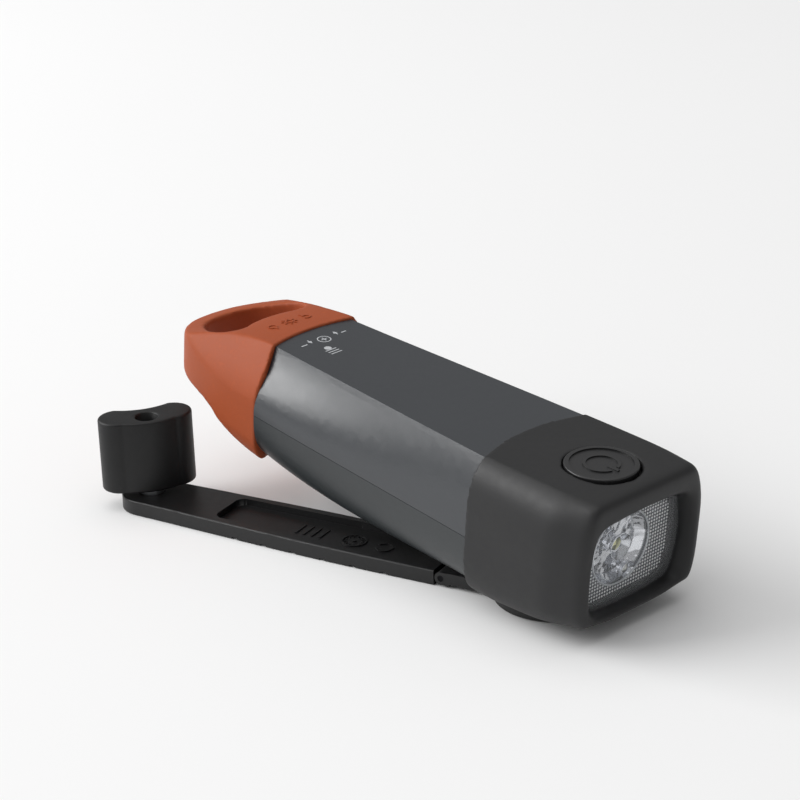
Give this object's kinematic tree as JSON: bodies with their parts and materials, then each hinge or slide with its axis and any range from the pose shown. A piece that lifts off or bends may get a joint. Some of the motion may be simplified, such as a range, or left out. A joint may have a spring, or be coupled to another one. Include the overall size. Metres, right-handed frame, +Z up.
{
  "type": "hand crank flashlight",
  "caption": "Torch with a wedge body, rubber loop tail, square head with a bezelled lens and top button, and a fold-out crank arm with a turning knob underneath.",
  "frame": {"origin": "where the crank's axis meets the surface that the crank hub lies on", "axes": "+Z up along the crank's axis, +X towards the lens in plan, +Y to the left seen from behind the torch"},
  "size_m": [0.161, 0.0685, 0.0472],
  "materials": {
    "body_grey": "satin anthracite moulding",
    "body_lower_grey": "satin anthracite moulding",
    "head_black": "soft matt black moulding",
    "tail_orange": "soft matt terracotta",
    "crank_black": "black glass-filled moulding",
    "lens_clear": "clear polycarbonate, dimpled",
    "reflector_bright": "bright metallised bowl",
    "gasket_black": "soft black",
    "light_yellow": "phosphor on a white package",
    "light_white": "white package",
    "board_green": "solder mask",
    "sink_metal": "bare plate",
    "steel": "bright",
    "iron": "laminated core and magnet",
    "winding": "enamelled wire",
    "brass": "turned",
    "gear_white": "white gear plastic",
    "frame_black": "plain",
    "cell_wrap": "wrapped cell"
  },
  "bodies": {
    "torch": {"head_shell": "head_black", "upper_shell": "body_grey", "lower_shell": "body_lower_grey", "lens": "lens_clear", "lens_gasket": "gasket_black", "reflector": "reflector_bright", "led_board": "board_green", "main_led": "light_yellow", "side_led": "light_white", "heat_sink": "sink_metal", "switch_board": "board_green", "power_switch": "steel", "button_pad": "gasket_black", "gearbox_frame": "frame_black", "gear_screws": "steel", "lower_bush": "brass", "upper_bush": "brass", "rotor_bush": "brass", "idler_axle": "steel", "stator_core": "iron", "stator_coils": "winding", "battery_cell": "cell_wrap", "battery_cradle": "frame_black", "battery_contacts": "steel", "main_board": "board_green", "usb_out_port": "steel", "usb_in_port": "steel", "port_plate": "frame_black", "housing_screws": "steel"},
    "tail": {"tail_cap": "tail_orange"},
    "button": {"power_button": "head_black"},
    "crank": {"crank_hub": "crank_black", "hub_cover": "crank_black", "hub_screw": "steel", "crank_shaft": "steel", "shaft_clip": "steel", "drive_gear": "gear_white", "hinge_pin": "steel"},
    "arm": {"crank_arm": "crank_black", "knob_axle": "steel", "knob_screw": "steel"},
    "knob": {"knob": "crank_black"},
    "idler": {"idler_gear": "gear_white"},
    "rotor": {"rotor_shaft": "steel", "generator_rotor": "iron"}
  },
  "joints": [
    {"name": "crank_spin", "type": "hinge", "parent": "torch", "child": "crank", "pos_m": [0, 0, 0.0025], "axis": [0, 0, 1], "continuous": true},
    {"name": "idler_spin", "type": "hinge", "parent": "torch", "child": "idler", "pos_m": [-0.00919, -0.00919, 0.0102], "axis": [0, 0, 1], "continuous": true},
    {"name": "rotor_spin", "type": "hinge", "parent": "torch", "child": "rotor", "pos_m": [-0.01685, -0.00276, 0.015], "axis": [0, 0, 1], "continuous": true},
    {"name": "arm_fold", "type": "hinge", "parent": "crank", "child": "arm", "pos_m": [-0.02646, -0.00784, 0.0021], "axis": [0.284, -0.9588, 0], "range_deg": [0, 42]},
    {"name": "knob_spin", "type": "hinge", "parent": "arm", "child": "knob", "pos_m": [-0.11602, -0.03437, 0.01], "axis": [0, 0, 1], "continuous": true},
    {"name": "power_button_press", "type": "slide", "parent": "torch", "child": "button", "axis": [-0.0722, 0, -0.9974], "range_m": [0, 0.0008], "stiffness_N_per_m": 900, "springref_m": -0.0003},
    {"name": "tail_cap_pull", "type": "slide", "parent": "torch", "child": "tail", "axis": [-0.9925, 0, 0.1219], "range_m": [0, 0.03]}
  ],
  "couplings": [
    {"joint": "idler_spin", "follows": "crank_spin", "ratio": -3.3333},
    {"joint": "rotor_spin", "follows": "crank_spin", "ratio": 10}
  ]
}
